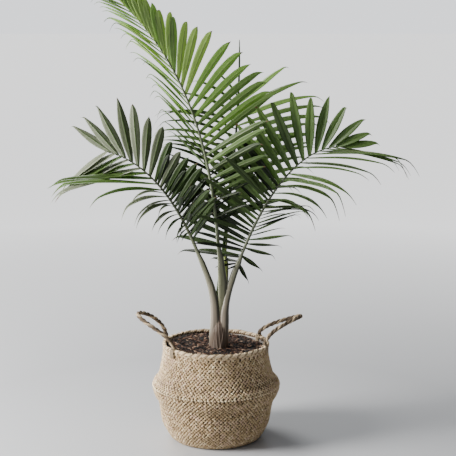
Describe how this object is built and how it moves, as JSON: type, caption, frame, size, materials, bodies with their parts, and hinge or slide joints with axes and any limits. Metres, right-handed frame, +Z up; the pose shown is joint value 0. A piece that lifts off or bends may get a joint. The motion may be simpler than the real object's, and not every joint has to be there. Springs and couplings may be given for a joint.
{
  "type": "potted majesty palm",
  "caption": "Majesty palm with arching feathered fronds on a short sheathed stem, potted in a round-bellied woven basket with rope handles.",
  "frame": {"origin": "centre of the basket's flat underside", "axes": "+Z up along the stem; the front of the plant faces -Y; +X to the right seen from the front"},
  "size_m": [0.9262, 0.4612, 1.2156],
  "materials": {
    "seagrass": "plain weave of twisted seagrass",
    "rope": "twisted seagrass rope",
    "bark_mulch": "loose dark bark and peat",
    "sheath": "fibrous leaf sheaths",
    "stalk": "smooth green leaf stalk",
    "leaf": "satin leaflet"
  },
  "bodies": {
    "root": {"basket": "seagrass", "handle_left": "rope", "handle_right": "rope", "potting_soil": "bark_mulch", "stem": "sheath", "stalk_left": "stalk", "stalk_right": "stalk", "stalk_tall": "stalk", "stalk_rear": "stalk", "spear_leaf": "leaf", "frond_left": "leaf", "frond_right": "leaf", "frond_tall": "leaf", "frond_rear": "leaf"}
  },
  "joints": []
}
